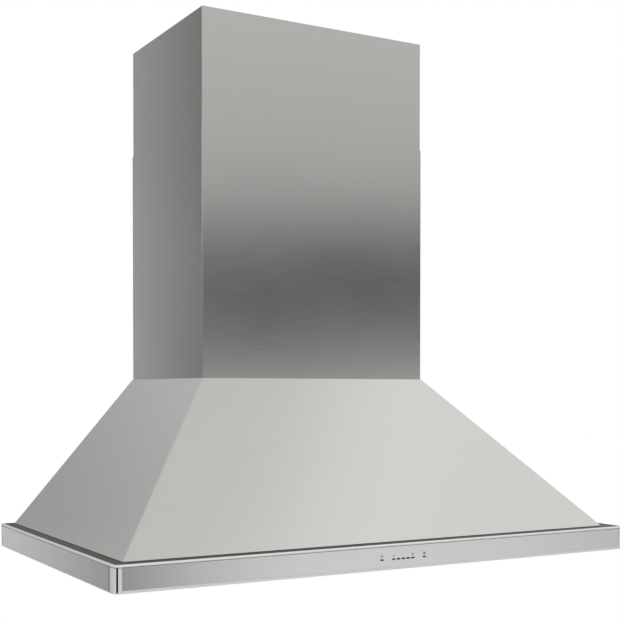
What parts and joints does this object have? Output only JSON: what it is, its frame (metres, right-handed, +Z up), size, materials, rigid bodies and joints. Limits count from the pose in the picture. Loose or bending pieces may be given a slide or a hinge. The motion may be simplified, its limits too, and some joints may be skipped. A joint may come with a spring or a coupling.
{
  "type": "wall-mounted chimney range hood",
  "caption": "Wall-mounted chimney range hood: a pyramid canopy on a flat rim, with a telescoping duct cover, a centrifugal blower, baffle filters and touch controls.",
  "frame": {"origin": "on the wall plane, in the middle of the hood's lower rear edge", "axes": "+X to the right of someone facing the hood, +Y into the wall, +Z up"},
  "size_m": [0.9, 0.556, 0.874],
  "materials": {
    "stainless_steel": "fine brushed stainless steel sheet",
    "fascia_steel": "fine brushed stainless steel strip",
    "rim_steel": "fine brushed stainless steel, folded",
    "ledge_steel": "dark satin painted steel",
    "underside_steel": "fine brushed stainless steel sheet",
    "filter_steel": "satin stainless steel, folded",
    "latch_steel": "satin spring steel",
    "galvanised_steel": "zinc-coated sheet steel",
    "shaft_steel": "ground steel",
    "motor_casing": "black painted motor casing",
    "capacitor_can": "drawn aluminium can",
    "black_plastic": "moulded black plastic",
    "driver_plastic": "moulded pale plastic",
    "lamp_housing": "satin steel cup with a rolled rim",
    "lamp_lens": "frosted glass",
    "lamp_board": "white-coated aluminium-core board",
    "circuit_board": "green glass-fibre board",
    "indicator_light": "tinted light guide",
    "zinc_screws": "zinc-plated steel"
  },
  "bodies": {
    "hood": {"back_panel": "galvanised_steel", "blower_brackets": "galvanised_steel", "blower_deck": "galvanised_steel", "blower_screws": "zinc_screws", "blower_scroll": "galvanised_steel", "blower_side_left": "galvanised_steel", "blower_side_right": "galvanised_steel", "cable_gland": "black_plastic", "canopy_shell": "stainless_steel", "capacitor_nut": "zinc_screws", "control_box": "galvanised_steel", "control_box_lid": "galvanised_steel", "control_carrier": "black_plastic", "corner_cap_left": "rim_steel", "corner_cap_right": "rim_steel", "cover_screws": "zinc_screws", "damper_rod": "shaft_steel", "duct_collar": "black_plastic", "fan_motor": "motor_casing", "front_bezel": "rim_steel", "front_fascia": "fascia_steel", "grease_trough": "underside_steel", "indicator_lights": "indicator_light", "lamp_boards": "lamp_board", "lamp_housing_left": "lamp_housing", "lamp_housing_right": "lamp_housing", "lamp_lens_left": "lamp_lens", "lamp_lens_right": "lamp_lens", "led_driver": "driver_plastic", "lower_cover": "stainless_steel", "motor_bracket": "galvanised_steel", "motor_capacitor": "capacitor_can", "outlet_transition": "galvanised_steel", "panel_rail": "galvanised_steel", "panel_screws": "zinc_screws", "relay_board": "circuit_board", "rim_frame": "rim_steel", "rim_ledge": "ledge_steel", "side_fascia_left": "fascia_steel", "side_fascia_right": "fascia_steel", "touch_board": "circuit_board", "underside_panel": "underside_steel"},
    "upper_duct": {"upper_cover": "stainless_steel", "ceiling_bracket": "galvanised_steel"},
    "fan": {"fan_wheel": "galvanised_steel", "fan_shaft": "shaft_steel"},
    "flap_front": {"damper_flap_front": "black_plastic"},
    "flap_rear": {"damper_flap_rear": "black_plastic"},
    "filter_left": {"filter_frame_left": "filter_steel", "filter_baffles_left": "filter_steel"},
    "latch_left": {"filter_latch_left": "latch_steel"},
    "filter_centre": {"filter_frame_centre": "filter_steel", "filter_baffles_centre": "filter_steel"},
    "latch_centre": {"filter_latch_centre": "latch_steel"},
    "filter_right": {"filter_frame_right": "filter_steel", "filter_baffles_right": "filter_steel"},
    "latch_right": {"filter_latch_right": "latch_steel"}
  },
  "joints": [
    {"name": "cover_slide", "type": "slide", "parent": "hood", "child": "upper_duct", "axis": [0, 0, 1], "range_m": [-0.1, 0.2]},
    {"name": "fan_spin", "type": "hinge", "parent": "hood", "child": "fan", "pos_m": [0, -0.2117, 0.1991], "axis": [1, 0, 0], "continuous": true},
    {"name": "flap_front_swing", "type": "hinge", "parent": "hood", "child": "flap_front", "pos_m": [0, -0.1527, 0.3919], "axis": [-1, 0, 0], "range_deg": [0, 75]},
    {"name": "flap_rear_swing", "type": "hinge", "parent": "hood", "child": "flap_rear", "pos_m": [0, -0.1527, 0.3919], "axis": [1, 0, 0], "range_deg": [0, 75]},
    {"name": "filter_left_swing", "type": "hinge", "parent": "hood", "child": "filter_left", "pos_m": [-0.27633, -0.036, 0.0132], "axis": [1, 0, 0], "range_deg": [0, 70]},
    {"name": "latch_left_pull", "type": "slide", "parent": "filter_left", "child": "latch_left", "axis": [0, 1, 0], "range_m": [0, 0.006], "stiffness_N_per_m": 300, "springref_m": -0.003},
    {"name": "filter_centre_swing", "type": "hinge", "parent": "hood", "child": "filter_centre", "pos_m": [0, -0.036, 0.0132], "axis": [1, 0, 0], "range_deg": [0, 70]},
    {"name": "latch_centre_pull", "type": "slide", "parent": "filter_centre", "child": "latch_centre", "axis": [0, 1, 0], "range_m": [0, 0.006], "stiffness_N_per_m": 300, "springref_m": -0.003},
    {"name": "filter_right_swing", "type": "hinge", "parent": "hood", "child": "filter_right", "pos_m": [0.27633, -0.036, 0.0132], "axis": [1, 0, 0], "range_deg": [0, 70]},
    {"name": "latch_right_pull", "type": "slide", "parent": "filter_right", "child": "latch_right", "axis": [0, 1, 0], "range_m": [0, 0.006], "stiffness_N_per_m": 300, "springref_m": -0.003}
  ]
}
